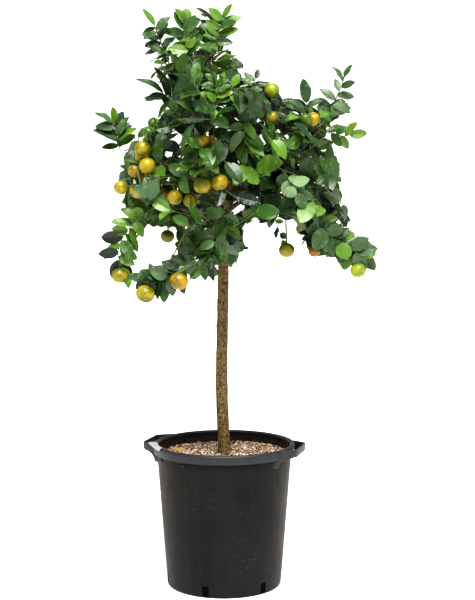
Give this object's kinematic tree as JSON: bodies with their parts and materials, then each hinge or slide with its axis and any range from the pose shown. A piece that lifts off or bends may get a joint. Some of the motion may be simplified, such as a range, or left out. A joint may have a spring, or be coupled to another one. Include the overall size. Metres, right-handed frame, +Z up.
{
  "type": "potted citrus tree",
  "caption": "Small standard orange tree in a round black nursery pot with two lift handles; it stands on its flat base.",
  "frame": {"origin": "centre of the pot's flat underside, on the floor", "axes": "+Z up the trunk, +X to the viewer's right, -Y to the front of the tree"},
  "size_m": [0.6783, 0.6327, 1.3946],
  "materials": {
    "pot": "dark charcoal moulded polypropylene, satin on the lip, dusty on the wall",
    "soil": "tan, pink and white pebbles over potting mix",
    "bark": "brown-olive bark with fine dark fissures",
    "leaf": "waxy dark green leaves, lighter below, with yellow-green to orange fruit"
  },
  "bodies": {
    "root": {"pot": "pot", "handle_right": "pot", "handle_left": "pot", "soil": "soil", "trunk": "bark", "bough_leader": "bark", "bough_right": "bark", "bough_back_right": "bark", "bough_left": "bark", "bough_back_left": "bark", "bough_right_low": "bark", "bough_back": "bark", "bough_front_hang": "bark", "bough_back_low_right": "bark", "bough_left_low": "bark", "bough_back_low_left": "bark", "bough_back_low": "bark", "bough_front": "bark", "bough_top_left": "bark", "bough_top_right": "bark", "bough_back_top": "bark", "bough_centre_right": "bark", "bough_right_outer": "bark", "bough_left_tip": "bark", "bough_front_low": "bark", "foliage_top_centre": "leaf", "foliage_top_left": "leaf", "foliage_upper_right": "leaf", "foliage_right_upper": "leaf", "foliage_right_outer": "leaf", "foliage_right_low": "leaf", "foliage_centre_right": "leaf", "foliage_centre_front": "leaf", "foliage_front_hang": "leaf", "foliage_front_low": "leaf", "foliage_left_fruit": "leaf", "foliage_left_tip": "leaf", "foliage_left_arch": "leaf", "foliage_back_top": "leaf", "foliage_back_left": "leaf", "foliage_back_right": "leaf", "foliage_back": "leaf", "foliage_back_low_left": "leaf", "foliage_back_low_right": "leaf", "foliage_back_low": "leaf"}
  },
  "joints": []
}
